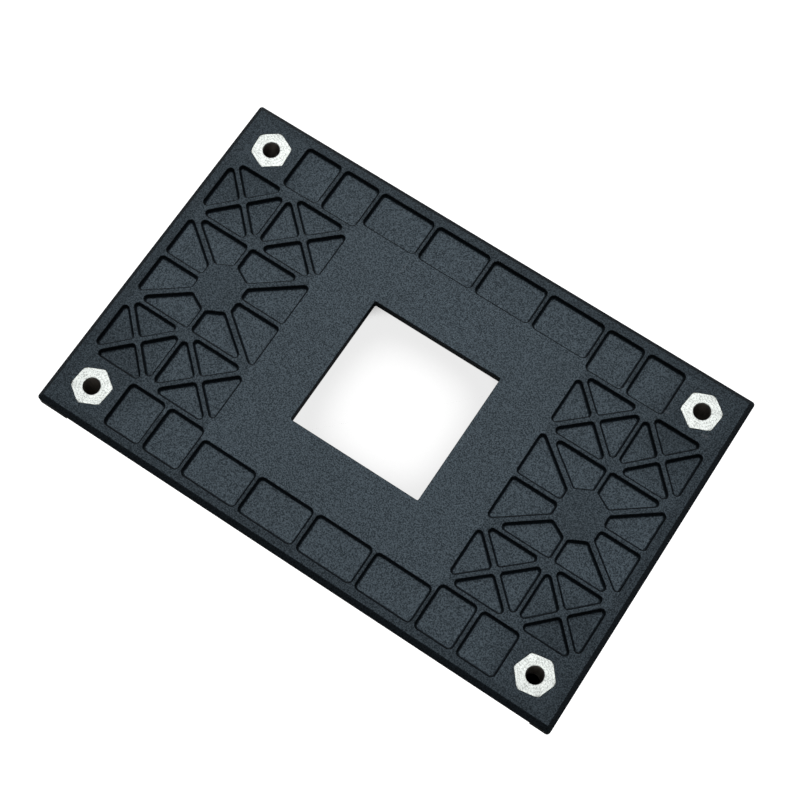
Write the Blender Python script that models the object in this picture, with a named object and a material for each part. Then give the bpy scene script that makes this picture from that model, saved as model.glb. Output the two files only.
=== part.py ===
"""Backplate of a desktop processor cooler mount: a ribbed moulded plate that holds four threaded inserts.

Metres, +Z up. The ribbed outer face looks up and the board side looks down, X runs along the long side and
Y along the short one. The inserts' posts stand on z = 0, and the origin lies below the plate's centre.
"""

import math

import bmesh
import bpy

MM = 0.001

# Plate
PLATE_LENGTH = 104.0 * MM
PLATE_WIDTH = 67.4 * MM
PLATE_THICKNESS = 2.2 * MM
PLATE_CORNER = 0.6 * MM
PLATE_CHAMFER = 0.9 * MM
LEAST_CORNER = 0.15 * MM
WINDOW_SIDE = 26.0 * MM

# Board side of the plate
POST_LENGTH = 6.0 * MM
PAD_HEIGHT = 1.0 * MM
PAD_LONG = 5.9 * MM
PAD_SHORT = 3.7 * MM
PAD_WIDTH = 2.5 * MM
BOSS_HEIGHT = 0.8 * MM
BOSS_RADIUS = 3.9 * MM
BOSS_ROOT = 0.5 * MM

# Threaded inserts, on the standard 90 x 54 mm spacing
INSERT_SPACING_X = 90.0 * MM
INSERT_SPACING_Y = 54.0 * MM
HEX_ACROSS_FLATS = 6.5 * MM
HEX_HEIGHT = 1.3 * MM
HEX_CHAMFER = 0.2 * MM
POST_RADIUS = 2.35 * MM
POST_CHAMFER = 0.25 * MM
BORE_RADIUS = 1.45 * MM
BORE_CHAMFER = 0.15 * MM
INSERT_TURNS = {"front_left": 25.0, "front_right": 9.5, "back_left": 35.5, "back_right": 23.0}

# Pockets in the outer face
POCKET_DEPTH = 0.9 * MM
POCKET_DRAFT = 0.14
POCKET_CORNER = 0.8 * MM
CELL_CORNER = 0.6 * MM
ROW_OUTER_Y = 31.2 * MM
ROW_INNER_Y = 24.1 * MM
ROW_END_INNER_Y = 22.7 * MM
WIDE_POCKET = 10.9 * MM
NARROW_POCKET = 7.2 * MM
ROW_RIB = 0.9 * MM

# Ribbed blocks at the two ends
BLOCK_INNER_X = 24.1 * MM
BLOCK_OUTER_X = 49.3 * MM
SPINE_X = 37.2 * MM
SPINE_RIB = 0.9 * MM
MIDDLE_RIB = 1.0 * MM
CROSS_TOP_Y = 21.7 * MM
CROSS_BOTTOM_Y = 10.1 * MM
CROSS_RIB = 1.1 * MM
HUB_BLOCK_Y = 9.2 * MM
HUB_SIDE_X = 4.25 * MM
HUB_SIDE_Y = 2.95 * MM
HUB_TOP_Y = 5.15 * MM
SPOKE_RIB = 1.2 * MM

GAP = 0.3 * MM
OVERSHOOT = 1.0 * MM
ROUND_POINTS = 24
CORNER_STEPS = 3
SMOOTH_ANGLE = math.radians(30)

UNDERSIDE_Z = POST_LENGTH
TOP_Z = POST_LENGTH + PLATE_THICKNESS


def clear_scene():
    for item in list(bpy.data.objects):
        bpy.data.objects.remove(item, do_unlink=True)


def plain_material(name, colour, roughness, metallic):
    material = bpy.data.materials.new(name)
    material.use_nodes = True
    shader = material.node_tree.nodes["Principled BSDF"]
    shader.inputs["Base Color"].default_value = (*colour, 1.0)
    shader.inputs["Roughness"].default_value = roughness
    shader.inputs["Metallic"].default_value = metallic
    return material


# Outlines. Each one is a list of (x, y) points, counter-clockwise.


def rectangle(x0, y0, x1, y1):
    return [(x0, y0), (x1, y0), (x1, y1), (x0, y1)]


def clipped(outline, point, normal):
    """The part of a convex outline on the side of the line through point that normal points to."""
    heights = [(x - point[0]) * normal[0] + (y - point[1]) * normal[1] for x, y in outline]
    kept = []
    for i, (start, height) in enumerate(zip(outline, heights)):
        after = (i + 1) % len(outline)
        if height >= 0:
            kept.append(start)
        if height * heights[after] < 0:
            share = height / (height - heights[after])
            end = outline[after]
            kept.append((start[0] + share * (end[0] - start[0]), start[1] + share * (end[1] - start[1])))
    return kept


def cut_by_rib(outline, start, end, width, keep):
    """Cuts an outline back from a straight rib between two points, and keeps the side that holds keep."""
    along = (end[0] - start[0], end[1] - start[1])
    length = math.hypot(*along)
    normal = (-along[1] / length, along[0] / length)
    if (keep[0] - start[0]) * normal[0] + (keep[1] - start[1]) * normal[1] < 0:
        normal = (-normal[0], -normal[1])
    edge = (start[0] + normal[0] * width / 2, start[1] + normal[1] * width / 2)
    return clipped(outline, edge, normal)


def grown(outline, distance):
    """A convex outline with each side moved outwards by distance, or inwards if that is negative."""
    sides = []
    for i, (x0, y0) in enumerate(outline):
        x1, y1 = outline[(i + 1) % len(outline)]
        length = math.hypot(x1 - x0, y1 - y0)
        normal = ((y1 - y0) / length, (x0 - x1) / length)
        sides.append((normal, normal[0] * x0 + normal[1] * y0 + distance))
    points = []
    for i, ((nx, ny), reach) in enumerate(sides):
        (px, py), earlier = sides[i - 1]
        cross = px * ny - py * nx
        points.append(((earlier * ny - reach * py) / cross, (reach * px - earlier * nx) / cross))
    return points


def rounded(outline, radius, steps=CORNER_STEPS):
    """A convex outline with each corner turned into an arc."""
    points = []
    for i, (x, y) in enumerate(outline):
        before = outline[i - 1]
        after = outline[(i + 1) % len(outline)]
        heading_in = math.atan2(y - before[1], x - before[0])
        heading_out = math.atan2(after[1] - y, after[0] - x)
        turn = (heading_out - heading_in) % math.tau
        reach = radius * math.tan(turn / 2)
        centre_x = x - reach * math.cos(heading_in) - radius * math.sin(heading_in)
        centre_y = y - reach * math.sin(heading_in) + radius * math.cos(heading_in)
        for step in range(steps + 1):
            angle = heading_in - math.pi / 2 + turn * step / steps
            points.append((centre_x + radius * math.cos(angle), centre_y + radius * math.sin(angle)))
    return points


def mirrored(outline, sign_x, sign_y):
    points = [(sign_x * x, sign_y * y) for x, y in outline]
    return points if sign_x * sign_y > 0 else points[::-1]


def circle(radius):
    angles = [math.tau * i / ROUND_POINTS for i in range(ROUND_POINTS)]
    return [(radius * math.cos(angle), radius * math.sin(angle)) for angle in angles]


def hexagon(across_flats):
    """A hexagon with a corner on +X, and with as many points as a circle, so that the two can be bridged."""
    points = []
    for i in range(ROUND_POINTS):
        angle = math.tau * i / ROUND_POINTS
        from_flat = angle % (math.pi / 3) - math.pi / 6
        reach = across_flats / 2 / math.cos(from_flat)
        points.append((reach * math.cos(angle), reach * math.sin(angle)))
    return points


def placed(outline, centre, turn):
    """An outline turned about its own origin and then moved to centre."""
    cosine, sine = math.cos(turn), math.sin(turn)
    return [(centre[0] + x * cosine - y * sine, centre[1] + x * sine + y * cosine) for x, y in outline]


# The pattern of pockets, drawn in the quarter of the plate where x and y are positive.


def row_pockets():
    """The pockets along a long side, from the middle of the plate to its end."""
    half_rib = MIDDLE_RIB / 2
    second_x = half_rib + WIDE_POCKET + ROW_RIB
    last_x = BLOCK_INNER_X + NARROW_POCKET + MIDDLE_RIB
    return [
        rectangle(half_rib, ROW_INNER_Y, half_rib + WIDE_POCKET, ROW_OUTER_Y),
        rectangle(second_x, ROW_INNER_Y, second_x + WIDE_POCKET, ROW_OUTER_Y),
        rectangle(BLOCK_INNER_X, ROW_END_INNER_Y, BLOCK_INNER_X + NARROW_POCKET, ROW_OUTER_Y),
        rectangle(last_x, ROW_END_INNER_Y, last_x + NARROW_POCKET, ROW_OUTER_Y),
    ]


def crossed_cells(x0, x1):
    """A box split into four triangles by two ribs from corner to corner."""
    y0, y1 = CROSS_BOTTOM_Y, CROSS_TOP_Y
    middle = ((x0 + x1) / 2, (y0 + y1) / 2)
    cells = []
    for keep in ((middle[0], y0), (x1, middle[1]), (middle[0], y1), (x0, middle[1])):
        cell = cut_by_rib(rectangle(x0, y0, x1, y1), (x0, y0), (x1, y1), CROSS_RIB, keep)
        cells.append(cut_by_rib(cell, (x1, y0), (x0, y1), CROSS_RIB, keep))
    return cells


def hub_cells(side, length):
    """The two cells in one quarter of a hub, drawn from the hub's centre and placed along X by side."""
    centre = (0.0, 0.0)
    spoke_end = (BLOCK_OUTER_X - SPINE_X, HUB_BLOCK_Y)
    upper = rectangle(SPINE_RIB / 2, MIDDLE_RIB / 2, length, HUB_BLOCK_Y)
    upper = cut_by_rib(upper, centre, spoke_end, SPOKE_RIB, (0.0, HUB_BLOCK_Y))
    upper = cut_by_rib(upper, (0.0, HUB_TOP_Y), (HUB_SIDE_X, HUB_SIDE_Y), 0.0, spoke_end)
    outer = rectangle(HUB_SIDE_X, MIDDLE_RIB / 2, length, 2 * HUB_BLOCK_Y)
    outer = cut_by_rib(outer, centre, spoke_end, SPOKE_RIB, (length, 0.0))
    cells = [mirrored(cell, side, 1) for cell in (upper, outer)]
    return [[(x + SPINE_X, y) for x, y in cell] for cell in cells]


def quarter_pockets():
    """(outline, corner radius) of each pocket in one quarter of the plate."""
    cells = crossed_cells(BLOCK_INNER_X, SPINE_X - SPINE_RIB / 2)
    cells += crossed_cells(SPINE_X + SPINE_RIB / 2, BLOCK_OUTER_X)
    cells += hub_cells(1, BLOCK_OUTER_X - SPINE_X)
    cells += hub_cells(-1, SPINE_X - BLOCK_INNER_X)
    pockets = [(outline, POCKET_CORNER) for outline in row_pockets()]
    return pockets + [(outline, CELL_CORNER) for outline in cells]


def pocket_outlines():
    quarters = [(sign_x, sign_y) for sign_x in (1, -1) for sign_y in (1, -1)]
    return [
        (mirrored(outline, *quarter), corner) for quarter in quarters for outline, corner in quarter_pockets()
    ]


# Solids


def add_ring(mesh, outline, z):
    return [mesh.verts.new((x, y, z)) for x, y in outline]


def bridge(mesh, lower, upper):
    for i in range(len(lower)):
        after = (i + 1) % len(lower)
        mesh.faces.new((lower[i], lower[after], upper[after], upper[i]))


def add_loft(mesh, rings):
    """A closed solid through (outline, z) rings from the lowest to the highest."""
    rows = [add_ring(mesh, outline, z) for outline, z in rings]
    for lower, upper in zip(rows, rows[1:]):
        bridge(mesh, lower, upper)
    mesh.faces.new(rows[0][::-1])
    mesh.faces.new(rows[-1])


def add_object(name, mesh, material=None):
    data = bpy.data.meshes.new(name)
    mesh.to_mesh(data)
    mesh.free()
    item = bpy.data.objects.new(name, data)
    bpy.context.scene.collection.objects.link(item)
    if material:
        data.materials.append(material)
    return item


def tool_object(name, lofts):
    """A helper for a Boolean: closed lofts in one object that isn't rendered."""
    mesh = bmesh.new()
    for rings in lofts:
        add_loft(mesh, rings)
    item = add_object(name, mesh)
    item.hide_render = True
    item.display_type = "WIRE"
    return item


def plate_outline(inset):
    """The plate's outline, with a point at each end of the corner pads' outer sides."""
    half_x = PLATE_LENGTH / 2 - inset
    half_y = PLATE_WIDTH / 2 - inset
    corner = max(PLATE_CORNER - inset, LEAST_CORNER)
    steps = CORNER_STEPS + 1
    arcs = rounded(rectangle(-half_x, -half_y, half_x, half_y), corner)
    points = []
    for i, (sign_x, sign_y) in enumerate(((-1, -1), (1, -1), (1, 1), (-1, 1))):
        pad_length = PAD_LONG if i % 2 == 0 else PAD_SHORT
        on_x_side = (sign_x * (PLATE_LENGTH / 2 - pad_length), sign_y * half_y)
        on_y_side = (sign_x * half_x, sign_y * (PLATE_WIDTH / 2 - PAD_WIDTH))
        first, last = (on_y_side, on_x_side) if i % 2 == 0 else (on_x_side, on_y_side)
        points += [first, *arcs[i * steps : (i + 1) * steps], last]
    return points


def plate_body():
    """The slab with its chamfered top edge and a pad drawn out of each lower corner."""
    mesh = bmesh.new()
    rows = [
        add_ring(mesh, plate_outline(0.0), UNDERSIDE_Z),
        add_ring(mesh, plate_outline(0.0), TOP_Z - PLATE_CHAMFER),
        add_ring(mesh, plate_outline(PLATE_CHAMFER), TOP_Z),
    ]
    for lower, upper in zip(rows, rows[1:]):
        bridge(mesh, lower, upper)
    mesh.faces.new(rows[-1])
    bottom = rows[0]
    per_corner = len(bottom) // 4
    pads = []
    inside = []
    for i in range(4):
        edge = bottom[i * per_corner : (i + 1) * per_corner]
        first, last = edge[0].co, edge[-1].co
        x, y = (last.x, first.y) if i % 2 == 0 else (first.x, last.y)
        inner = mesh.verts.new((x, y, UNDERSIDE_Z))
        pads.append(mesh.faces.new([inner, *edge[::-1]]))
        inside += [edge[0], inner, edge[-1]]
    mesh.faces.new(inside[::-1])
    drawn = bmesh.ops.extrude_face_region(mesh, geom=pads)["geom"]
    ends = [item for item in drawn if isinstance(item, bmesh.types.BMVert)]
    bmesh.ops.translate(mesh, verts=ends, vec=(0.0, 0.0, -PAD_HEIGHT))
    bmesh.ops.delete(mesh, geom=[face for face in pads if face.is_valid], context="FACES_ONLY")
    bmesh.ops.recalc_face_normals(mesh, faces=mesh.faces)
    return mesh


def insert_places():
    """(name, centre, turn) of each insert. Front is the -Y side and left the -X side."""
    places = []
    for name, degrees in INSERT_TURNS.items():
        x = INSERT_SPACING_X / 2 * (-1 if "left" in name else 1)
        y = INSERT_SPACING_Y / 2 * (-1 if "front" in name else 1)
        places.append((name, (x, y), math.radians(degrees)))
    return places


def boss_tool():
    """The round bosses below the inserts' heads, which reach up into the slab to join it."""
    lofts = []
    for _, centre, turn in insert_places():
        ring = placed(circle(BOSS_RADIUS), centre, turn)
        lofts.append([(ring, UNDERSIDE_Z - BOSS_HEIGHT), (ring, UNDERSIDE_Z + BOSS_ROOT)])
    return tool_object("boss_tool", lofts)


def pocket_tool():
    """The pockets, whose sloping walls go on above the face so that the cut is clean."""
    inwards = POCKET_DRAFT * POCKET_DEPTH
    outwards = POCKET_DRAFT * OVERSHOOT
    lofts = []
    for outline, corner in pocket_outlines():
        floor = rounded(grown(outline, -inwards), corner - inwards)
        mouth = rounded(grown(outline, outwards), corner + outwards)
        lofts.append([(floor, TOP_Z - POCKET_DEPTH), (mouth, TOP_Z + OVERSHOOT)])
    return tool_object("pocket_tool", lofts)


def window_tool():
    half = WINDOW_SIDE / 2
    outline = rectangle(-half, -half, half, half)
    return tool_object("window_tool", [[(outline, UNDERSIDE_Z - OVERSHOOT), (outline, TOP_Z + OVERSHOOT)]])


def seat_tool():
    """The stepped holes that hold the inserts: round through the boss, and six-sided round the head."""
    ledge_z = TOP_Z - HEX_HEIGHT - GAP
    bottom_z = UNDERSIDE_Z - BOSS_HEIGHT - OVERSHOOT
    lofts = []
    for _, centre, turn in insert_places():
        neck = placed(circle(POST_RADIUS + GAP), centre, turn)
        head = placed(hexagon(HEX_ACROSS_FLATS + 2 * GAP), centre, turn)
        lofts.append([(neck, bottom_z), (neck, ledge_z), (head, ledge_z), (head, TOP_Z + OVERSHOOT)])
    return tool_object("seat_tool", lofts)


def backplate(material):
    item = add_object("backplate", plate_body(), material)
    steps = (
        (boss_tool(), "UNION"),
        (pocket_tool(), "DIFFERENCE"),
        (window_tool(), "DIFFERENCE"),
        (seat_tool(), "DIFFERENCE"),
    )
    for tool, operation in steps:
        modifier = item.modifiers.new(tool.name, "BOOLEAN")
        modifier.operation = operation
        modifier.solver = "EXACT"
        modifier.object = tool
    return item


def insert_mesh():
    """The insert about its own axis: a round post below a six-sided head, with a bore right through."""
    head_z = TOP_Z - HEX_HEIGHT
    rings = [
        (circle(POST_RADIUS - POST_CHAMFER), 0.0),
        (circle(POST_RADIUS), POST_CHAMFER),
        (circle(POST_RADIUS), head_z),
        (hexagon(HEX_ACROSS_FLATS), head_z),
        (hexagon(HEX_ACROSS_FLATS), TOP_Z - HEX_CHAMFER),
        (hexagon(HEX_ACROSS_FLATS - 2 * HEX_CHAMFER), TOP_Z),
        (circle(BORE_RADIUS + BORE_CHAMFER), TOP_Z),
        (circle(BORE_RADIUS), TOP_Z - BORE_CHAMFER),
        (circle(BORE_RADIUS), BORE_CHAMFER),
        (circle(BORE_RADIUS + BORE_CHAMFER), 0.0),
    ]
    mesh = bmesh.new()
    rows = [add_ring(mesh, outline, z) for outline, z in rings]
    for i, row in enumerate(rows):
        bridge(mesh, row, rows[(i + 1) % len(rows)])
    return mesh


def threaded_inserts(material):
    shape = add_object("threaded_insert_shape", insert_mesh(), material)
    data = shape.data
    bpy.data.objects.remove(shape)
    data.shade_smooth()
    data.set_sharp_from_angle(angle=SMOOTH_ANGLE)
    for name, centre, turn in insert_places():
        item = bpy.data.objects.new(f"threaded_insert_{name}", data)
        item.location = (*centre, 0.0)
        item.rotation_euler.z = turn
        bpy.context.scene.collection.objects.link(item)


def main():
    clear_scene()
    plastic = plain_material("moulded_plastic", (0.035, 0.040, 0.050), 0.55, 0.0)
    steel = plain_material("plated_steel", (0.72, 0.72, 0.70), 0.32, 1.0)
    backplate(plastic)
    threaded_inserts(steel)


main()
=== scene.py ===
"""Looks of a processor cooler backplate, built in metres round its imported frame.

The plate and its four threaded inserts are modelled again here with fine edges, real threads and a
moulded underside. Each piece stands for the plain CAD node in the same place. The ribbed face looks up,
X runs along the long side and Y along the short one.
"""

import math

import bmesh
import bpy
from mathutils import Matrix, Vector
from mathutils.geometry import delaunay_2d_cdt

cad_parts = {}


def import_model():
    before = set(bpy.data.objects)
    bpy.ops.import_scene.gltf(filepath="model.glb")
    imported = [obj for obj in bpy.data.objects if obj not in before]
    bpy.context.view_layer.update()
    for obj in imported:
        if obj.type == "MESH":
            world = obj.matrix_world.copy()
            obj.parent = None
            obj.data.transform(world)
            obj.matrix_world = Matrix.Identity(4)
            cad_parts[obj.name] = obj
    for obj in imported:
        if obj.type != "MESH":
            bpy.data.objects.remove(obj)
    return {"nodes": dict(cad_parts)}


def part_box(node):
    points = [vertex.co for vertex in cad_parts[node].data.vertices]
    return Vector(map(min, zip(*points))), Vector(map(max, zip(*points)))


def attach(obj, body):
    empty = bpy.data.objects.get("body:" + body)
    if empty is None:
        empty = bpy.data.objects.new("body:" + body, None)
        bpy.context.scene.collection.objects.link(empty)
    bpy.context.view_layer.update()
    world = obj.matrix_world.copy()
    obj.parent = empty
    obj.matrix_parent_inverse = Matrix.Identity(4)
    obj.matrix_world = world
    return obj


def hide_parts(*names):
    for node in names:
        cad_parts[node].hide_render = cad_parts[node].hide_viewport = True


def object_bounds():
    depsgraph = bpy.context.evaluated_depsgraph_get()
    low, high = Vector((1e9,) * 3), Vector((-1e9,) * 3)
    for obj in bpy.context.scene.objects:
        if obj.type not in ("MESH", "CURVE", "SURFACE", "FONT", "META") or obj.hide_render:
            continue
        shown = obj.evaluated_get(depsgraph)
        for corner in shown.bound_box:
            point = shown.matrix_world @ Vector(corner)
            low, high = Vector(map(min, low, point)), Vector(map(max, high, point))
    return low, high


MM = 0.001

# The plate's outline and edges
PLATE_CORNER = 0.6 * MM
PLATE_CHAMFER = 0.9 * MM
CHAMFER_EDGE = 0.15 * MM
LEAST_CORNER = 0.15 * MM
WINDOW_SIDE = 26.0 * MM
WINDOW_CORNER = 0.25 * MM
WINDOW_EDGE = 0.12 * MM
LOWER_EDGE = 0.25 * MM

# Board side
PAD_HEIGHT = 1.0 * MM
PAD_LONG = 5.9 * MM
PAD_SHORT = 3.7 * MM
PAD_WIDTH = 2.5 * MM
BOSS_HEIGHT = 0.8 * MM
BOSS_RADIUS = 3.9 * MM
BOSS_FILLET = 0.3 * MM
NECK_EDGE = 0.12 * MM
EJECTOR_RADIUS = 2.0 * MM
EJECTOR_DEPTH = 0.10 * MM
EJECTOR_PLACES_X = (15.5 * MM, 34.0 * MM)
EJECTOR_Y = 24.5 * MM

# Threaded inserts
HEX_ACROSS_FLATS = 6.5 * MM
HEX_HEIGHT = 1.3 * MM
HEX_CORNER_REACH = 3.70 * MM
HEX_CONE_RADIUS = 3.5 * MM
HEX_CONE_SLOPE = math.tan(math.radians(30))
HEX_EDGE = 0.04 * MM
SEAT_GAP = 0.015 * MM
SEAT_EDGE = 0.06 * MM
POST_RADIUS = 2.35 * MM
POST_CHAMFER = 0.25 * MM
THREAD_PITCH = 0.794 * MM
THREAD_ROOT_RADIUS = 1.65 * MM
THREAD_CREST_RADIUS = 1.40 * MM
THREAD_ROOT_FLAT = 0.125
THREAD_CREST_FLAT = 0.25
MOUTH_RADIUS = 1.60 * MM
ROWS_PER_TURN = 8
# Bore rows at the mouth left out of the painted shade inside the bore
UNSHADED_MOUTH_ROWS = 2

# Pockets in the outer face
POCKET_DEPTH = 0.9 * MM
POCKET_DRAFT = 0.14
POCKET_CORNER = 0.8 * MM
CELL_CORNER = 0.6 * MM
POCKET_LIP = 0.28 * MM
POCKET_FILLET = 0.22 * MM
ROW_OUTER_Y = 31.2 * MM
ROW_INNER_Y = 24.1 * MM
ROW_END_INNER_Y = 22.7 * MM
WIDE_POCKET = 10.9 * MM
NARROW_POCKET = 7.2 * MM
ROW_RIB = 0.9 * MM

# Ribbed blocks at the two ends
BLOCK_INNER_X = 24.1 * MM
BLOCK_OUTER_X = 49.3 * MM
SPINE_X = 37.2 * MM
SPINE_RIB = 0.9 * MM
MIDDLE_RIB = 1.0 * MM
ROW_END_X = BLOCK_INNER_X + 2 * NARROW_POCKET + MIDDLE_RIB
CROSS_TOP_Y = 21.7 * MM
CROSS_BOTTOM_Y = 10.1 * MM
CROSS_RIB = 1.1 * MM
HUB_BLOCK_Y = 9.2 * MM
HUB_SIDE_X = 4.25 * MM
HUB_SIDE_Y = 2.95 * MM
HUB_TOP_Y = 5.15 * MM
SPOKE_RIB = 1.2 * MM

# Fineness of the meshes
ROUND_POINTS = 48
CORNER_STEPS = 6
EDGE_STEPS = 3
LIP_STEPS = 3
FILLET_STEPS = 4
SAME_POINT = 1e-7
SMOOTH_ANGLE = math.radians(40)

# Looks. Grains and clouds are noise scales, and ranges are (from low, from high, to low, to high).

# Plastic
PLASTIC_TINT = (0.042, 0.061, 0.08)
PLASTIC_GLOSS = 0.8
PLASTIC_GLOSS_TINT = (0.8, 0.94, 1.0)
FINE_GRAIN = 8200.0
COARSE_GRAIN = 4300.0
COARSE_GRAIN_HEIGHT = 1.6
GRAIN_BUMP = {"Strength": 0.8, "Distance": 0.07 * MM}
PLASTIC_CLOUDS = 70.0
SPECKLE_TONES = (0.35, 0.65, 0.45, 1.55)
CLOUD_TONES = (0.3, 0.7, 0.92, 1.08)
GRAIN_GLOSS = (0.36, 0.62, 0.35, 1.0)
GRAIN_ROUGHNESS = (0.3, 0.7, 0.56, 0.42)

# Painted shade: how much darker the plastic is drawn in its creases, on pocket lips, along the rim and on
# the narrow ribs, in colour and sheen
EDGE_SHADE_TONE = 0.42
LIP_SHADE_STRENGTH = 2.6
PAINTED_SHADE_TONE = 0.62
RIM_START = (48.9 * MM, 30.9 * MM)
RIM_FADE = 0.6 * MM
RIM_CORNER = (48.0 * MM, 24.0 * MM)
RIM_CORNER_REACH = (14.0 * MM, 17.0 * MM)
RIM_CORNER_SHARE = 0.8
RIB_FADE = 0.5 * MM
BLOCK_RIB_SHARE = 0.55
FACE_MARGIN = 0.05 * MM

# Light scuffs as (centre, reach, strength)
WORN_TINT = (0.13, 0.14, 0.16)
SCRATCH_GRAIN = 2600.0
SCRATCH_SPAN = (0.42, 0.6)
SCUFFS = (
    ((47.7 * MM, 23.5 * MM), (0.9 * MM, 0.5 * MM), 0.8),
    ((40.0 * MM, 23.6 * MM), (0.7 * MM, 0.4 * MM), 0.4),
    ((-12.3 * MM, 21.3 * MM), (0.12 * MM, 2.2 * MM), 0.6),
)

# Steel
STEEL_TINT = (0.575, 0.605, 0.585)
# Painted shade: the bore's threads below the mouth are drawn in this darker colour
BORE_SHADE_TINT = (0.3, 0.28, 0.26)
STEEL_GRAIN = 4600.0
STEEL_GRAIN_HEIGHT = 1.5
STEEL_CLOUDS = 900.0
STEEL_SPECKLE_TONES = (0.34, 0.54, 0.42, 1.08)
STEEL_CLOUD_TONES = (0.3, 0.7, 0.94, 1.04)
STEEL_ROUGHNESS = (0.3, 0.7, 0.3, 0.46)
FINE_RINGS = {"Scale": 1700.0, "Distortion": 0.6, "Detail": 2.0, "Detail Scale": 1.5}
WIDE_RINGS = {"Scale": 560.0, "Distortion": 0.8, "Detail": 1.0, "Detail Scale": 2.0}
WIDE_RING_TONES = (0.0, 1.0, 0.88, 1.03)
RING_BUMP = {"Strength": 0.25, "Distance": 0.01 * MM}

# Floor. Its shade is worked out from how much of the sky is open above it.
FLOOR_HALF = 3.0
FLOOR_GREY = 0.22
FLOOR_SHADE_REACH = 30.0 * MM
SKY_SAMPLES = 32
DEEP_SHADE = (0.1, 0.3, 0.0, 1.3)
WINDOW_SHADE = (0.45, 0.72, 0.82, 1.03)
WINDOW_SHADE_REACH = 1.25 * WINDOW_SIDE
WINDOW_SHADE_END = (0.0, 0.3, 1.3, 0.0)
FAR_FLOOR_START = 120.0 * MM
FAR_FLOOR_GLOW = 0.35

# Room, and its lights as (name, place, size, radiance)
ROOM_GLOW = 0.06
SOFTBOXES = (
    ("key", (-0.14, 0.22, 0.75), 0.7, 2.5),
    ("rim", (-0.45, 0.75, 0.22), 0.35, 2.0),
)

# Camera, as a turn round the point it looks at
CAMERA_TURN = math.radians(33.5)
CAMERA_ELEVATION = math.radians(71.8)
CAMERA_DISTANCE = 279.2 * MM
CAMERA_NEAR = 0.01
CAMERA_FAR = 20.0
CAMERA_AIM = (0.69 * MM, 0.18 * MM)
CAMERA_LENS = 73.15
SENSOR_WIDTH = 36.0


# Outlines. Each one is a list of (x, y) points, counter-clockwise.


def rectangle(x0, y0, x1, y1):
    return [(x0, y0), (x1, y0), (x1, y1), (x0, y1)]


def clipped(outline, point, normal):
    """The part of a convex outline on the side of the line through point that normal points to."""
    heights = [(x - point[0]) * normal[0] + (y - point[1]) * normal[1] for x, y in outline]
    kept = []
    for i, (start, height) in enumerate(zip(outline, heights)):
        after = (i + 1) % len(outline)
        if height >= 0:
            kept.append(start)
        if height * heights[after] < 0:
            share = height / (height - heights[after])
            along = (outline[after][0] - start[0], outline[after][1] - start[1])
            kept.append((start[0] + share * along[0], start[1] + share * along[1]))
    return kept


def cut_by_rib(outline, start, end, width, keep):
    """Cuts an outline back from the rib between two points, and keeps the side that holds keep."""
    along = (end[0] - start[0], end[1] - start[1])
    length = math.hypot(*along)
    normal = (-along[1] / length, along[0] / length)
    if (keep[0] - start[0]) * normal[0] + (keep[1] - start[1]) * normal[1] < 0:
        normal = (-normal[0], -normal[1])
    edge = (start[0] + normal[0] * width / 2, start[1] + normal[1] * width / 2)
    return clipped(outline, edge, normal)


def grown(outline, distance):
    """A convex outline with each side moved outwards by distance, or inwards if that is negative."""
    sides = []
    for i, (x0, y0) in enumerate(outline):
        x1, y1 = outline[(i + 1) % len(outline)]
        length = math.hypot(x1 - x0, y1 - y0)
        normal = ((y1 - y0) / length, (x0 - x1) / length)
        sides.append((normal, normal[0] * x0 + normal[1] * y0 + distance))
    points = []
    for i, ((nx, ny), reach) in enumerate(sides):
        (px, py), earlier = sides[i - 1]
        cross = px * ny - py * nx
        points.append(((earlier * ny - reach * py) / cross, (reach * px - earlier * nx) / cross))
    return points


def rounded(outline, radius, steps=CORNER_STEPS):
    """A convex outline with each corner turned into an arc."""
    points = []
    for i, (x, y) in enumerate(outline):
        before = outline[i - 1]
        after = outline[(i + 1) % len(outline)]
        heading_in = math.atan2(y - before[1], x - before[0])
        heading_out = math.atan2(after[1] - y, after[0] - x)
        turn = (heading_out - heading_in) % math.tau
        reach = radius * math.tan(turn / 2)
        centre_x = x - reach * math.cos(heading_in) - radius * math.sin(heading_in)
        centre_y = y - reach * math.sin(heading_in) + radius * math.cos(heading_in)
        for step in range(steps + 1):
            angle = heading_in - math.pi / 2 + turn * step / steps
            points.append((centre_x + radius * math.cos(angle), centre_y + radius * math.sin(angle)))
    return points


def mirrored(outline, sign_x, sign_y):
    points = [(sign_x * x, sign_y * y) for x, y in outline]
    return points if sign_x * sign_y > 0 else points[::-1]


def circle(radius):
    angles = [math.tau * i / ROUND_POINTS for i in range(ROUND_POINTS)]
    return [(radius * math.cos(angle), radius * math.sin(angle)) for angle in angles]


def hexagon(across_flats, most_reach=math.inf):
    """A hexagon with a corner on +X, as many points as a circle and its corners cut at most_reach."""
    points = []
    for i in range(ROUND_POINTS):
        angle = math.tau * i / ROUND_POINTS
        from_flat = angle % (math.pi / 3) - math.pi / 6
        reach = min(across_flats / 2 / math.cos(from_flat), most_reach)
        points.append((reach * math.cos(angle), reach * math.sin(angle)))
    return points


def placed(outline, centre, turn=0.0):
    """An outline turned about its own origin and then moved to centre."""
    cosine, sine = math.cos(turn), math.sin(turn)
    return [(centre[0] + x * cosine - y * sine, centre[1] + x * sine + y * cosine) for x, y in outline]


# The pattern of pockets, drawn in the quarter of the plate where x and y are positive.


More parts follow.
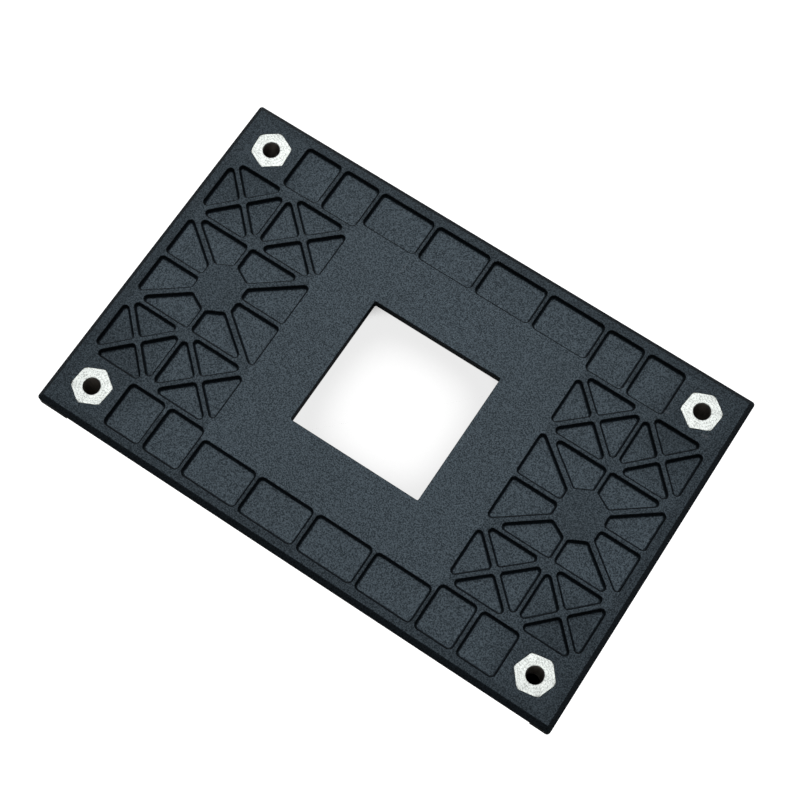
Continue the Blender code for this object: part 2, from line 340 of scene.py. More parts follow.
def row_pockets():
    """The pockets along a long side, from the middle of the plate to its end."""
    half_rib = MIDDLE_RIB / 2
    second_x = half_rib + WIDE_POCKET + ROW_RIB
    last_x = BLOCK_INNER_X + NARROW_POCKET + MIDDLE_RIB
    return [
        rectangle(half_rib, ROW_INNER_Y, half_rib + WIDE_POCKET, ROW_OUTER_Y),
        rectangle(second_x, ROW_INNER_Y, second_x + WIDE_POCKET, ROW_OUTER_Y),
        rectangle(BLOCK_INNER_X, ROW_END_INNER_Y, BLOCK_INNER_X + NARROW_POCKET, ROW_OUTER_Y),
        rectangle(last_x, ROW_END_INNER_Y, last_x + NARROW_POCKET, ROW_OUTER_Y),
    ]


def crossed_cells(x0, x1):
    """A box split into four triangles by two ribs from corner to corner."""
    y0, y1 = CROSS_BOTTOM_Y, CROSS_TOP_Y
    middle = ((x0 + x1) / 2, (y0 + y1) / 2)
    cells = []
    for keep in ((middle[0], y0), (x1, middle[1]), (middle[0], y1), (x0, middle[1])):
        cell = cut_by_rib(rectangle(x0, y0, x1, y1), (x0, y0), (x1, y1), CROSS_RIB, keep)
        cells.append(cut_by_rib(cell, (x1, y0), (x0, y1), CROSS_RIB, keep))
    return cells


def hub_cells(side, length):
    """The two cells in one quarter of a hub, drawn from the hub's centre and placed along X by side."""
    centre = (0.0, 0.0)
    spoke_end = (BLOCK_OUTER_X - SPINE_X, HUB_BLOCK_Y)
    upper = rectangle(SPINE_RIB / 2, MIDDLE_RIB / 2, length, HUB_BLOCK_Y)
    upper = cut_by_rib(upper, centre, spoke_end, SPOKE_RIB, (0.0, HUB_BLOCK_Y))
    upper = cut_by_rib(upper, (0.0, HUB_TOP_Y), (HUB_SIDE_X, HUB_SIDE_Y), 0.0, spoke_end)
    outer = rectangle(HUB_SIDE_X, MIDDLE_RIB / 2, length, 2 * HUB_BLOCK_Y)
    outer = cut_by_rib(outer, centre, spoke_end, SPOKE_RIB, (length, 0.0))
    cells = [mirrored(cell, side, 1) for cell in (upper, outer)]
    return [[(x + SPINE_X, y) for x, y in cell] for cell in cells]


def quarter_pockets():
    """(outline, corner radius) of each pocket in one quarter of the plate."""
    cells = crossed_cells(BLOCK_INNER_X, SPINE_X - SPINE_RIB / 2)
    cells += crossed_cells(SPINE_X + SPINE_RIB / 2, BLOCK_OUTER_X)
    cells += hub_cells(1, BLOCK_OUTER_X - SPINE_X)
    cells += hub_cells(-1, SPINE_X - BLOCK_INNER_X)
    pockets = [(outline, POCKET_CORNER) for outline in row_pockets()]
    return pockets + [(outline, CELL_CORNER) for outline in cells]


def pocket_outlines():
    """(outline, corner radius) of every pocket in the plate."""
    pockets = []
    for sign_x in (1, -1):
        for sign_y in (1, -1):
            pockets += [(mirrored(outline, sign_x, sign_y), corner) for outline, corner in quarter_pockets()]
    return pockets


# Mesh building


def add_ring(mesh, outline, z):
    return [mesh.verts.new((x, y, z)) for x, y in outline]


def bridge(mesh, first, second):
    for i in range(len(first)):
        after = (i + 1) % len(first)
        mesh.faces.new((first[i], first[after], second[after], second[i]))


def add_skin(mesh, rings):
    """A skin through (outline, z) rings. Returns its rows of vertices."""
    rows = [add_ring(mesh, outline, z) for outline, z in rings]
    for first, second in zip(rows, rows[1:]):
        bridge(mesh, first, second)
    return rows


def fill_flat(mesh, loops):
    """Fills the flat space between an outer loop of vertices and the convex loops of its holes."""
    vertices = [vertex for loop in loops for vertex in loop]
    owners = [number for number, loop in enumerate(loops) for _ in loop]
    edges = []
    for loop in loops:
        start = len(edges)
        edges += [(start + i, start + (i + 1) % len(loop)) for i in range(len(loop))]
    flat = [vertex.co.xy for vertex in vertices]
    inside_outline = 1
    _, _, triangles, originals, _, _ = delaunay_2d_cdt(flat, edges, [], inside_outline, SAME_POINT)
    for triangle in triangles:
        corners = [originals[i][0] for i in triangle]
        touched = {owners[i] for i in corners}
        if len(touched) > 1 or 0 in touched:
            mesh.faces.new([vertices[i] for i in corners])


def quarter_turn(steps):
    """(sine, cosine) from 0 to 90 degrees."""
    angles = [math.pi / 2 * step / steps for step in range(steps + 1)]
    return [(math.sin(angle), math.cos(angle)) for angle in angles]


def added(name, data):
    """An object of a mesh, in the scene, whose flat faces keep even shading beside its rounded edges."""
    item = bpy.data.objects.new(name, data)
    bpy.context.scene.collection.objects.link(item)
    weighted = item.modifiers.new("weighted_normals", "WEIGHTED_NORMAL")
    weighted.keep_sharp = True
    return item


def finished(name, mesh, material):
    """An object from a bmesh, smooth over its rounded edges and flat across its flat faces."""
    bmesh.ops.recalc_face_normals(mesh, faces=mesh.faces)
    data = bpy.data.meshes.new(name)
    mesh.to_mesh(data)
    mesh.free()
    data.materials.append(material)
    data.shade_smooth()
    data.set_sharp_from_angle(angle=SMOOTH_ANGLE)
    return added(name, data)


# Plate


def plate_outline(low, high, inset):
    """The plate's outline, with a point at each end of the corner pads' outer sides."""
    corner = max(PLATE_CORNER - inset, LEAST_CORNER)
    steps = CORNER_STEPS + 1
    arcs = rounded(rectangle(low.x + inset, low.y + inset, high.x - inset, high.y - inset), corner)
    points = []
    for i, (sign_x, sign_y) in enumerate(((-1, -1), (1, -1), (1, 1), (-1, 1))):
        pad_length = PAD_LONG if i % 2 == 0 else PAD_SHORT
        on_x_side = (sign_x * (high.x - pad_length), sign_y * (high.y - inset))
        on_y_side = (sign_x * (high.x - inset), sign_y * (high.y - PAD_WIDTH))
        first, last = (on_y_side, on_x_side) if i % 2 == 0 else (on_x_side, on_y_side)
        points += [first, *arcs[i * steps : (i + 1) * steps], last]
    return points


def add_outer_side(mesh, low, high, underside_z):
    """The plate's side below a chamfer with eased edges. Returns its rows, from the top down."""
    rings = []
    bend = CHAMFER_EDGE * math.tan(math.pi / 8)
    for i, (sine, cosine) in enumerate(quarter_turn(2 * EDGE_STEPS)):
        if i <= EDGE_STEPS:
            inset = PLATE_CHAMFER + bend - CHAMFER_EDGE * sine
            rings.append((plate_outline(low, high, inset), high.z - CHAMFER_EDGE * (1 - cosine)))
        if i >= EDGE_STEPS:
            drop = PLATE_CHAMFER + bend - CHAMFER_EDGE * cosine
            rings.append((plate_outline(low, high, CHAMFER_EDGE * (1 - sine)), high.z - drop))
    rings.append((plate_outline(low, high, 0.0), underside_z + LOWER_EDGE))
    return add_skin(mesh, rings)


def add_pad(mesh, wall, inner, low_z):
    """A corner pad below a stretch of the side's lowest row. inner is its corner under the plate."""
    outline = [tuple(vertex.co.xy) for vertex in wall] + [inner]
    rings = [
        (grown(outline, -LOWER_EDGE * (1 - sine)), low_z + LOWER_EDGE * (1 - cosine))
        for sine, cosine in quarter_turn(LIP_STEPS)
    ]
    rows = add_skin(mesh, rings)
    mesh.faces.new(rows[0])
    top = rows[-1]
    for i in range(len(wall) - 1):
        mesh.faces.new((top[i], top[i + 1], wall[i + 1], wall[i]))
    return top


def add_board_side(mesh, underside_z, wall_row):
    """The corner pads and the rounded edge between them. Returns the underside's outer loop."""
    per_corner = len(wall_row) // 4
    corners = [wall_row[i * per_corner : (i + 1) * per_corner] for i in range(4)]
    inner_places = []
    pads = []
    for i, wall in enumerate(corners):
        first, last = wall[0].co, wall[-1].co
        inner = (last.x, first.y) if i % 2 == 0 else (first.x, last.y)
        inner_places.append(inner)
        pads.append(add_pad(mesh, wall, inner, underside_z - PAD_HEIGHT))
    loop = []
    arcs_in = []
    arcs_out = []
    for wall, (inner_x, inner_y) in zip(corners, inner_places):
        for vertex, arcs in ((wall[0], arcs_in), (wall[-1], arcs_out)):
            start = vertex.co
            towards = Vector((inner_x - start.x, inner_y - start.y, 0.0)).normalized()
            arc = [vertex]
            for sine, cosine in quarter_turn(LIP_STEPS)[1:]:
                shift = towards * LOWER_EDGE * (1 - cosine)
                arc.append(mesh.verts.new(start + shift - Vector((0, 0, LOWER_EDGE * sine))))
            arcs.append(arc)
    for i in range(4):
        ahead = (i + 1) % 4
        for first, second, third, fourth in zip(
            arcs_out[i], arcs_in[ahead], arcs_in[ahead][1:], arcs_out[i][1:]
        ):
            mesh.faces.new((first, second, third, fourth))
        corner = mesh.verts.new((*inner_places[i], underside_z))
        top = pads[i]
        mesh.faces.new((*arcs_in[i], corner, top[-1], top[0]))
        mesh.faces.new((*arcs_out[i], corner, top[-1], top[-2]))
        loop += [arcs_in[i][-1], corner, arcs_out[i][-1]]
    return loop


def add_pocket(mesh, outline, corner, top_z):
    """A pocket: a rounded lip, a drafted wall and a filleted floor. Returns its rows, from the top down."""
    slant = math.hypot(1.0, POCKET_DRAFT)
    tilt = math.atan2(1.0, POCKET_DRAFT)
    lip_centre = POCKET_LIP * (slant - POCKET_DRAFT)
    fillet_centre = -POCKET_DRAFT * (POCKET_DEPTH - POCKET_FILLET) - POCKET_FILLET * slant
    floor_z = top_z - POCKET_DEPTH
    profile = []
    for step in range(LIP_STEPS + 1):
        angle = tilt * step / LIP_STEPS
        drop = POCKET_LIP * (1 - math.cos(angle))
        profile.append((lip_centre - POCKET_LIP * math.sin(angle), top_z - drop))
    for step in range(FILLET_STEPS + 1):
        angle = tilt * (1 - step / FILLET_STEPS)
        rise = POCKET_FILLET * (1 - math.cos(angle))
        profile.append((fillet_centre + POCKET_FILLET * math.sin(angle), floor_z + rise))
    rings = [(rounded(grown(outline, out), corner + out), z) for out, z in profile]
    rows = add_skin(mesh, rings)
    mesh.faces.new(rows[-1])
    return rows


def add_window(mesh, top_z, underside_z):
    """The square window right through the plate. Returns its rows, from the top down."""
    half = WINDOW_SIDE / 2
    square = rectangle(-half, -half, half, half)
    profile = []
    for sine, cosine in quarter_turn(LIP_STEPS):
        profile.append((WINDOW_EDGE * (1 - sine), top_z - WINDOW_EDGE * (1 - cosine)))
    for sine, cosine in quarter_turn(LIP_STEPS):
        profile.append((WINDOW_EDGE * (1 - cosine), underside_z + WINDOW_EDGE * (1 - sine)))
    rings = [(rounded(grown(square, out), WINDOW_CORNER + out), z) for out, z in profile]
    return add_skin(mesh, rings)


def add_seat(mesh, centre, turn, top_z, underside_z):
    """An insert's stepped hole and the boss round its lower end. Returns the top and bottom loops."""
    low_z = underside_z - BOSS_HEIGHT
    ledge_z = top_z - HEX_HEIGHT - SEAT_GAP
    seat_flats = HEX_ACROSS_FLATS + 2 * SEAT_GAP
    seat_reach = HEX_CORNER_REACH + SEAT_GAP
    neck_radius = POST_RADIUS + SEAT_GAP
    rings = []
    for sine, cosine in quarter_turn(LIP_STEPS):
        out = SEAT_EDGE * (1 - sine)
        outline = hexagon(seat_flats + 2 * out, seat_reach + out)
        rings.append((outline, top_z - SEAT_EDGE * (1 - cosine)))
    rings += [(hexagon(seat_flats, seat_reach), ledge_z), (circle(neck_radius), ledge_z)]
    for sine, cosine in quarter_turn(LIP_STEPS):
        rings.append((circle(neck_radius + NECK_EDGE * (1 - cosine)), low_z + NECK_EDGE * (1 - sine)))
    for sine, cosine in quarter_turn(LIP_STEPS):
        radius = BOSS_RADIUS - LOWER_EDGE * (1 - sine)
        rings.append((circle(radius), low_z + LOWER_EDGE * (1 - cosine)))
    for sine, cosine in quarter_turn(LIP_STEPS):
        radius = BOSS_RADIUS + BOSS_FILLET * (1 - cosine)
        rings.append((circle(radius), underside_z - BOSS_FILLET * (1 - sine)))
    rows = add_skin(mesh, [(placed(outline, centre, turn), z) for outline, z in rings])
    return rows[0], rows[-1]


def add_ejector_mark(mesh, centre, underside_z):
    """The shallow round mark that a mould's ejector pin leaves. Returns its loop in the underside."""
    rim = placed(circle(EJECTOR_RADIUS), centre)
    floor = placed(circle(EJECTOR_RADIUS - EJECTOR_DEPTH / 2), centre)
    rows = add_skin(mesh, [(rim, underside_z), (floor, underside_z + EJECTOR_DEPTH)])
    mesh.faces.new(rows[1])
    return rows[0]


def plate_piece(inserts, material):
    low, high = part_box("backplate")
    underside_z = low.z + PAD_HEIGHT
    mesh = bmesh.new()
    # Painted shade: this layer darkens the chamfer, the pocket lips, walls and fillets and the window's
    # edges
    edge_shade = mesh.verts.layers.float.new("edge_shade")
    shaded_rows = []
    rows = add_outer_side(mesh, low, high, underside_z)
    wall_row = rows[-1]
    shaded_rows += [(row, 1.0) for row in rows[1:-1]]
    top_loops = [rows[0]]
    bottom_loops = [add_board_side(mesh, underside_z, wall_row)]
    for outline, corner in pocket_outlines():
        rows = add_pocket(mesh, outline, corner, high.z)
        shaded_rows += [(row, LIP_SHADE_STRENGTH) for row in rows[1 : LIP_STEPS + 1]]
        shaded_rows += [(row, 1.0) for row in rows[LIP_STEPS + 1 : -1]]
        top_loops.append(rows[0])
    rows = add_window(mesh, high.z, underside_z)
    shaded_rows += [(row, 1.0) for row in rows[1:-1]]
    top_loops.append(rows[0])
    bottom_loops.append(rows[-1])
    for _, centre, turn in inserts:
        top_loop, bottom_loop = add_seat(mesh, centre, turn, high.z, underside_z)
        top_loops.append(top_loop)
        bottom_loops.append(bottom_loop)
    for sign_y in (1, -1):
        for x in EJECTOR_PLACES_X:
            for sign_x in (1, -1):
                centre = (sign_x * x, sign_y * EJECTOR_Y)
                bottom_loops.append(add_ejector_mark(mesh, centre, underside_z))
    fill_flat(mesh, top_loops)
    fill_flat(mesh, bottom_loops)
    for row, strength in shaded_rows:
        for vertex in row:
            vertex[edge_shade] = strength
    return finished("moulded_plate", mesh, material)


# Inserts


def insert_places(nodes):
    """(node name, centre, turn) of each insert. The turn is the angle of a corner of its head."""
    places = []
    for name in sorted(nodes):
        if not name.startswith("threaded_insert"):
            continue
        low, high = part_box(name)
        centre = Vector(((low.x + high.x) / 2, (low.y + high.y) / 2))
        arms = [vertex.co.xy - centre for vertex in nodes[name].data.vertices]
        corner = max(arms, key=lambda arm: arm.length)
        places.append((name, tuple(centre), math.atan2(corner.y, corner.x)))
    return places


def thread_radius(z, angle, top_z):
    """The bore's radius at a height and an angle: a right-hand thread between two chamfers."""
    phase = (z / THREAD_PITCH - angle / math.tau) % 1.0
    from_root = abs(phase - 0.5) * 2
    share = (from_root - THREAD_ROOT_FLAT) / (1 - THREAD_ROOT_FLAT - THREAD_CREST_FLAT)
    share = min(max(share, 0.0), 1.0)
    thread = THREAD_ROOT_RADIUS - share * (THREAD_ROOT_RADIUS - THREAD_CREST_RADIUS)
    chamfer = MOUTH_RADIUS - min(z, top_z - z)
    return max(thread, chamfer)


def insert_mesh(top_z):
    """The insert about its own axis: a post, a six-sided turned head and a threaded bore right through."""
    mesh = bmesh.new()
    in_bore = mesh.verts.layers.float.new("bore")
    head_z = top_z - HEX_HEIGHT
    head = hexagon(HEX_ACROSS_FLATS, HEX_CORNER_REACH)
    face = hexagon(HEX_ACROSS_FLATS - 2 * HEX_EDGE, HEX_CONE_RADIUS - HEX_EDGE)
    rings = [
        [(x, y, 0.0) for x, y in circle(POST_RADIUS - POST_CHAMFER)],
        [(x, y, POST_CHAMFER) for x, y in circle(POST_RADIUS)],
        [(x, y, head_z) for x, y in circle(POST_RADIUS)],
        [(x, y, head_z) for x, y in head],
        [
            (x, y, top_z - HEX_EDGE - HEX_CONE_SLOPE * max(math.hypot(x, y) - HEX_CONE_RADIUS, 0.0))
            for x, y in head
        ],
        [(x, y, top_z) for x, y in face],
    ]
    outer_count = len(rings)
    row_count = math.ceil(top_z / THREAD_PITCH * ROWS_PER_TURN)
    for row in range(row_count, -1, -1):
        z = top_z * row / row_count
        ring = []
        for i in range(ROUND_POINTS):
            angle = math.tau * i / ROUND_POINTS
            radius = thread_radius(z, angle, top_z)
            ring.append((radius * math.cos(angle), radius * math.sin(angle), z))
        rings.append(ring)
    rows = [[mesh.verts.new(point) for point in ring] for ring in rings]
    for i, row in enumerate(rows):
        bridge(mesh, row, rows[(i + 1) % len(rows)])
    # Painted shade: the bore below its first rows is marked to be drawn darker
    for row in rows[outer_count + UNSHADED_MOUTH_ROWS :]:
        for vertex in row:
            vertex[in_bore] = 1.0
    return mesh


def insert_pieces(inserts, material):
    """(piece, node name) of each insert. All share a mesh, and each stands on its own axis."""
    pieces = []
    data = None
    for name, centre, turn in inserts:
        low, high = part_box(name)
        piece_name = name.replace("threaded_insert", "plated_insert")
        if data is None:
            piece = finished(piece_name, insert_mesh(high.z - low.z), material)
            data = piece.data
        else:
            piece = added(piece_name, data)
        piece.location = (*centre, low.z)
        piece.rotation_euler.z = turn
        pieces.append((piece, name))
    return pieces


# Materials


def add_node(tree, kind, values=None, **settings):
    made = tree.nodes.new(kind)
    for name, value in settings.items():
        setattr(made, name, value)
    for name, value in (values or {}).items():
        made.inputs[name].default_value = value
    return made


def noise(tree, place, scale, detail=2.0, roughness=0.5):
    made = add_node(
        tree, "ShaderNodeTexNoise", {"Scale": scale, "Detail": detail, "Roughness": roughness}
    )
    tree.links.new(place, made.inputs["Vector"])
    return made.outputs["Fac"]


def remapped(tree, value, low, high, to_low, to_high):
    made = add_node(
        tree,
        "ShaderNodeMapRange",
        {"From Min": low, "From Max": high, "To Min": to_low, "To Max": to_high},
    )
    tree.links.new(value, made.inputs["Value"])
    return made.outputs["Result"]


def combined(tree, operation, first, second):
    """A Math node on two values, each a socket or a number."""
    made = add_node(tree, "ShaderNodeMath", operation=operation)
    for socket, value in zip(made.inputs, (first, second)):
        if isinstance(value, (int, float)):
            socket.default_value = value
        else:
            tree.links.new(value, socket)
    return made.outputs[0]


def mixed_colour(tree, share, first, second, blend="MIX"):
    """A Mix node on two colours, each a socket or a tuple."""
    made = add_node(tree, "ShaderNodeMix", data_type="RGBA", blend_type=blend)
    for name, value in (("Factor", share), ("A", first), ("B", second)):
        sockets = [s for s in made.inputs if s.name == name and s.enabled]
        if isinstance(value, (int, float)):
            sockets[0].default_value = value
        elif isinstance(value, tuple):
            sockets[0].default_value = (*value, 1.0)
        else:
            tree.links.new(value, sockets[0])
    return next(s for s in made.outputs if s.enabled)


def new_material(name):
    material = bpy.data.materials.new(name)
    material.use_nodes = True
    tree = material.node_tree
    return material, tree, tree.nodes["Principled BSDF"]


def add_bump(tree, shader, height, settings):
    bump = add_node(tree, "ShaderNodeBump", settings)
    tree.links.new(height, bump.inputs["Height"])
    tree.links.new(bump.outputs["Normal"], shader.inputs["Normal"])


def mark(tree, place, centre, reach):
    """A soft-edged oval, 1 out to half its reach and 0 from its rim outwards."""
    shift = add_node(tree, "ShaderNodeVectorMath", operation="SUBTRACT")
    tree.links.new(place, shift.inputs[0])
    shift.inputs[1].default_value = (*centre, 0.0)
    scaled = add_node(tree, "ShaderNodeVectorMath", operation="MULTIPLY")
    tree.links.new(shift.outputs["Vector"], scaled.inputs[0])
    scaled.inputs[1].default_value = (1 / reach[0], 1 / reach[1], 0.0)
    length = add_node(tree, "ShaderNodeVectorMath", operation="LENGTH")
    tree.links.new(scaled.outputs["Vector"], length.inputs[0])
    return remapped(tree, length.outputs["Value"], 1.0, 0.5, 0.0, 1.0)


def folded_place(tree, place):
    """A place folded into one quarter of the plate, as a vector and as separate axes."""
    folded = add_node(tree, "ShaderNodeVectorMath", operation="ABSOLUTE")
    tree.links.new(place, folded.inputs[0])
    axes = add_node(tree, "ShaderNodeSeparateXYZ")
    tree.links.new(folded.outputs["Vector"], axes.inputs[0])
    return folded.outputs["Vector"], axes


def rib_shade(tree, axes, face_z):
    """Painted shade: 1 over the open face and in the pockets, less on top of the narrow ribs between
    pockets.
    """
    x, y, z = axes.outputs
    on_face = remapped(tree, z, face_z - POCKET_DEPTH / 2, face_z - FACE_MARGIN, 0.0, 1.0)
    past_block = remapped(tree, x, BLOCK_INNER_X, BLOCK_INNER_X + RIB_FADE, 0.0, BLOCK_RIB_SHARE)
    before_row = remapped(tree, y, ROW_END_INNER_Y, ROW_END_INNER_Y + RIB_FADE, 1.0, 0.0)
    in_block = combined(tree, "MULTIPLY", past_block, before_row)
    past_row = remapped(tree, y, ROW_INNER_Y, ROW_INNER_Y + RIB_FADE, 0.0, 1.0)
    before_end = remapped(tree, x, ROW_END_X, ROW_END_X + RIB_FADE, 1.0, 0.0)
    in_row = combined(tree, "MULTIPLY", past_row, before_end)
    narrow = combined(tree, "MULTIPLY", on_face, combined(tree, "MAXIMUM", in_block, in_row))
    return remapped(tree, narrow, 0.0, 1.0, 1.0, PAINTED_SHADE_TONE)


def rim_shade(tree, folded, axes):
    """Painted shade: 1 over the middle of the face, less along the plate's rim and round the inserts."""
    along = remapped(tree, axes.outputs["X"], RIM_START[0], RIM_START[0] + RIM_FADE, 0.0, 1.0)
    across = remapped(tree, axes.outputs["Y"], RIM_START[1], RIM_START[1] + RIM_FADE, 0.0, 1.0)
    rim = combined(tree, "MAXIMUM", along, across)
    corner = mark(tree, folded, RIM_CORNER, RIM_CORNER_REACH)
    both = combined(tree, "MAXIMUM", rim, combined(tree, "MULTIPLY", corner, RIM_CORNER_SHARE))
    return remapped(tree, both, 0.0, 1.0, 1.0, PAINTED_SHADE_TONE)


def scuffs(tree, place):
    """Ovals broken up by fine scratches, 0 where the plastic is as moulded."""
    scratches = noise(tree, place, SCRATCH_GRAIN, 3.0, 0.7)
    worn = 0.0
    for centre, reach, strength in SCUFFS:
        oval = mark(tree, place, centre, reach)
        broken = combined(tree, "MULTIPLY", oval, remapped(tree, scratches, *SCRATCH_SPAN, 0.0, strength))
        worn = combined(tree, "MAXIMUM", worn, broken)
    return worn


def moulded_plastic(face_z):
    """Charcoal glass-filled nylon with a fine spark-eroded grain, lighter where it is scuffed, with painted
    shade on its edges, rim and narrow ribs.
    """
    material, tree, shader = new_material("moulded_plastic")
    place = add_node(tree, "ShaderNodeTexCoord").outputs["Object"]
    fine = noise(tree, place, FINE_GRAIN, 2.0, 0.6)
    coarse = noise(tree, place, COARSE_GRAIN, 2.0, 0.55)
    clouds = noise(tree, place, PLASTIC_CLOUDS, 3.0, 0.5)
    # Painted shade on the chamfer, pocket lips and walls and the window's edges, read from the plate's layer
    edge_shade = add_node(tree, "ShaderNodeAttribute", attribute_name="edge_shade").outputs["Fac"]
    folded, axes = folded_place(tree, place)
    # Painted shade along the rim, round the inserts and on the narrow ribs
    edges = combined(tree, "MINIMUM", rim_shade(tree, folded, axes), rib_shade(tree, axes, face_z))
    shade = combined(tree, "MULTIPLY", combined(tree, "POWER", EDGE_SHADE_TONE, edge_shade), edges)
    speckle = remapped(tree, coarse, *SPECKLE_TONES)
    tone = combined(tree, "MULTIPLY", speckle, remapped(tree, clouds, *CLOUD_TONES))
    tone = combined(tree, "MULTIPLY", tone, shade)
    base = mixed_colour(tree, 1.0, PLASTIC_TINT, tone, "MULTIPLY")
    colour = mixed_colour(tree, scuffs(tree, place), base, WORN_TINT)
    tree.links.new(colour, shader.inputs["Base Color"])
    # The painted shade dims the sheen as well as the colour
    shine = combined(tree, "MULTIPLY", remapped(tree, coarse, *GRAIN_GLOSS), shade)
    sheen = mixed_colour(tree, 1.0, PLASTIC_GLOSS_TINT, shine, "MULTIPLY")
    tree.links.new(sheen, shader.inputs["Specular Tint"])
    shader.inputs["Specular IOR Level"].default_value = PLASTIC_GLOSS
    tree.links.new(remapped(tree, coarse, *GRAIN_ROUGHNESS), shader.inputs["Roughness"])
    height = combined(tree, "ADD", fine, combined(tree, "MULTIPLY", coarse, COARSE_GRAIN_HEIGHT))
    add_bump(tree, shader, height, GRAIN_BUMP)
    return material


def turned_rings(tree, place, settings):
    """Waves in rings about the Z axis, from 0 to 1."""
    rings = add_node(tree, "ShaderNodeTexWave", settings, wave_type="RINGS", rings_direction="Z")
    tree.links.new(place, rings.inputs["Vector"])
    return rings.outputs["Fac"]


def plated_steel():
    """Satin nickel plate over turned steel, with rings about the insert's axis and painted shade darkening
    the bore below its mouth.
    """
    material, tree, shader = new_material("plated_steel")
    place = add_node(tree, "ShaderNodeTexCoord").outputs["Object"]
    speckle = noise(tree, place, STEEL_GRAIN, 2.0, 0.6)
    clouds = noise(tree, place, STEEL_CLOUDS, 2.0, 0.5)
    speckle_tone = remapped(tree, speckle, *STEEL_SPECKLE_TONES)
    tone = combined(tree, "MULTIPLY", speckle_tone, remapped(tree, clouds, *STEEL_CLOUD_TONES))
    ring_tone = remapped(tree, turned_rings(tree, place, WIDE_RINGS), *WIDE_RING_TONES)
    tone = combined(tree, "MULTIPLY", tone, ring_tone)
    plate = mixed_colour(tree, 1.0, STEEL_TINT, tone, "MULTIPLY")
    in_bore = add_node(tree, "ShaderNodeAttribute", attribute_name="bore").outputs["Fac"]
    # Painted shade inside the bore
    colour = mixed_colour(tree, in_bore, plate, BORE_SHADE_TINT)
    tree.links.new(colour, shader.inputs["Base Color"])
    tree.links.new(remapped(tree, speckle, *STEEL_ROUGHNESS), shader.inputs["Roughness"])
    shader.inputs["Metallic"].default_value = 1.0
    grain = combined(tree, "MULTIPLY", speckle, STEEL_GRAIN_HEIGHT)
    height = combined(tree, "ADD", turned_rings(tree, place, FINE_RINGS), grain)
    add_bump(tree, shader, height, RING_BUMP)
    return material


# Stage


def mixed_shader(tree, share, first, second):
    mix = add_node(tree, "ShaderNodeMixShader")
    tree.links.new(share, mix.inputs["Fac"])
    tree.links.new(first.outputs[0], mix.inputs[1])
    tree.links.new(second.outputs[0], mix.inputs[2])
    return mix


def floor_glow(tree, place):
    """How bright the floor looks: dark deep under the plate, softly shaded in the window, else white."""
    open_sky = add_node(
        tree, "ShaderNodeAmbientOcclusion", {"Distance": FLOOR_SHADE_REACH}, samples=SKY_SAMPLES
    )
    deep = remapped(tree, open_sky.outputs["AO"], *DEEP_SHADE)
    soft = remapped(tree, open_sky.outputs["AO"], *WINDOW_SHADE)
    inside = mark(tree, place, (0.0, 0.0), (WINDOW_SHADE_REACH, WINDOW_SHADE_REACH))
    soft = combined(tree, "MAXIMUM", soft, remapped(tree, inside, *WINDOW_SHADE_END))
    return combined(tree, "MINIMUM", deep, soft)


def floor_material():
    """A white sweep, clear from below. It throws little light back but shows bright in far reflections."""
    material, tree, shader = new_material("white_sweep")
    tree.nodes.remove(shader)
    place = add_node(tree, "ShaderNodeTexCoord").outputs["Object"]
    path = add_node(tree, "ShaderNodeLightPath").outputs
    facing = add_node(tree, "ShaderNodeNewGeometry").outputs
    seen = add_node(tree, "ShaderNodeEmission")
    tree.links.new(floor_glow(tree, place), seen.inputs["Strength"])
    dull = add_node(tree, "ShaderNodeBsdfDiffuse", {"Color": (FLOOR_GREY, FLOOR_GREY, FLOOR_GREY, 1.0)})
    bright = add_node(tree, "ShaderNodeEmission", {"Strength": FAR_FLOOR_GLOW})
    clear = add_node(tree, "ShaderNodeBsdfTransparent")
    near = mark(tree, place, (0.0, 0.0), (FAR_FLOOR_START, FAR_FLOOR_START))
    far = remapped(tree, near, 0.0, 1.0, 1.0, 0.0)
    lit = mixed_shader(tree, combined(tree, "MULTIPLY", path["Is Glossy Ray"], far), dull, bright)
    from_above = mixed_shader(tree, path["Is Camera Ray"], lit, seen)
    surface = mixed_shader(tree, facing["Backfacing"], from_above, clear)
    tree.links.new(surface.outputs[0], tree.nodes["Material Output"].inputs["Surface"])
    return material


def add_floor(z):
    mesh = bmesh.new()
    mesh.faces.new(add_ring(mesh, rectangle(-FLOOR_HALF, -FLOOR_HALF, FLOOR_HALF, FLOOR_HALF), z))
    data = bpy.data.meshes.new("floor")
    mesh.to_mesh(data)
    mesh.free()
    data.materials.append(floor_material())
    floor = bpy.data.objects.new("floor", data)
    bpy.context.scene.collection.objects.link(floor)


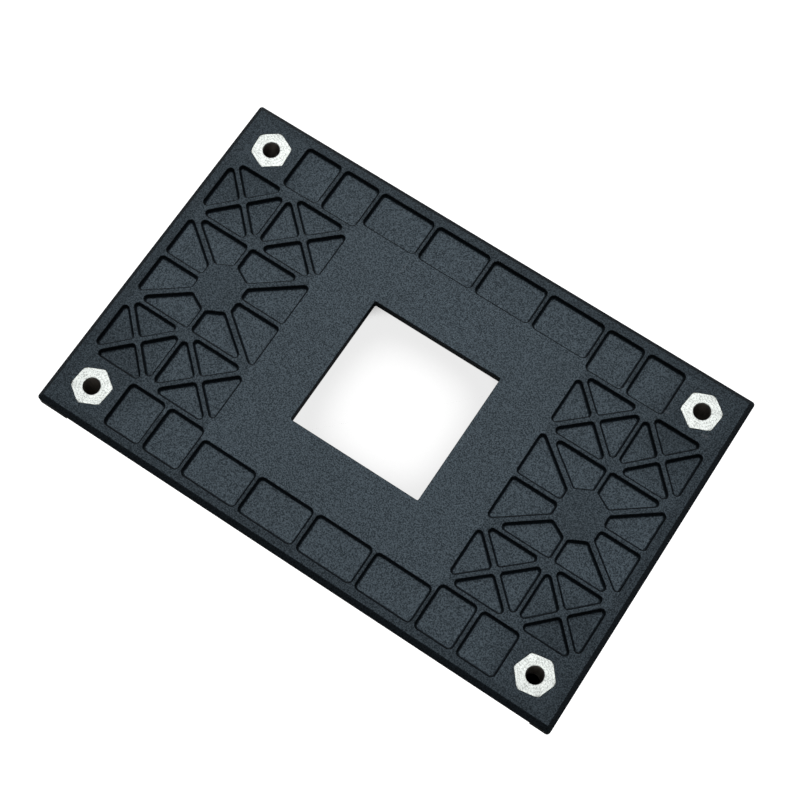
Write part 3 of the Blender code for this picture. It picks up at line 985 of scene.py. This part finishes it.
def add_world():
    """A dim room that looks white where the camera sees past the floor."""
    world = bpy.data.worlds.new("studio")
    world.use_nodes = True
    bpy.context.scene.world = world
    tree = world.node_tree
    background = tree.nodes["Background"]
    path = add_node(tree, "ShaderNodeLightPath")
    strength = remapped(tree, path.outputs["Is Camera Ray"], 0.0, 1.0, ROOM_GLOW, 1.0)
    tree.links.new(strength, background.inputs["Strength"])
    background.inputs["Color"].default_value = (1.0, 1.0, 1.0, 1.0)


def add_softbox(name, place, size, radiance):
    """A square light aimed at the plate. Its power is worked out from how bright its face is."""
    light = bpy.data.lights.new(name, "AREA")
    light.shape = "SQUARE"
    light.size = size
    light.energy = radiance * math.pi * size * size
    item = bpy.data.objects.new(name, light)
    item.location = place
    item.rotation_euler = (-Vector(place)).to_track_quat("-Z", "Y").to_euler()
    bpy.context.scene.collection.objects.link(item)


def add_camera(face_z):
    aim = Vector((*CAMERA_AIM, face_z))
    level = math.cos(CAMERA_ELEVATION)
    back = Vector(
        (math.sin(CAMERA_TURN) * level, -math.cos(CAMERA_TURN) * level, math.sin(CAMERA_ELEVATION))
    )
    camera = bpy.data.cameras.new("camera")
    camera.lens = CAMERA_LENS
    camera.sensor_width = SENSOR_WIDTH
    camera.clip_start = CAMERA_NEAR
    camera.clip_end = CAMERA_FAR
    item = bpy.data.objects.new("camera", camera)
    item.location = aim + back * CAMERA_DISTANCE
    item.rotation_euler = (-back).to_track_quat("-Z", "Y").to_euler()
    bpy.context.scene.collection.objects.link(item)
    bpy.context.scene.camera = item


def main():
    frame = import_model()
    cad_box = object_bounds()
    bpy.context.scene.view_settings.view_transform = "Standard"
    face_z = cad_box[1].z

    inserts = insert_places(frame["nodes"])
    plate = plate_piece(inserts, moulded_plastic(face_z))
    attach(plate, "root")
    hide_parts("backplate")
    for piece, node in insert_pieces(inserts, plated_steel()):
        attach(piece, "root")
        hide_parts(node)

    add_floor(cad_box[0].z)
    add_world()
    for softbox in SOFTBOXES:
        add_softbox(*softbox)
    add_camera(face_z)


main()
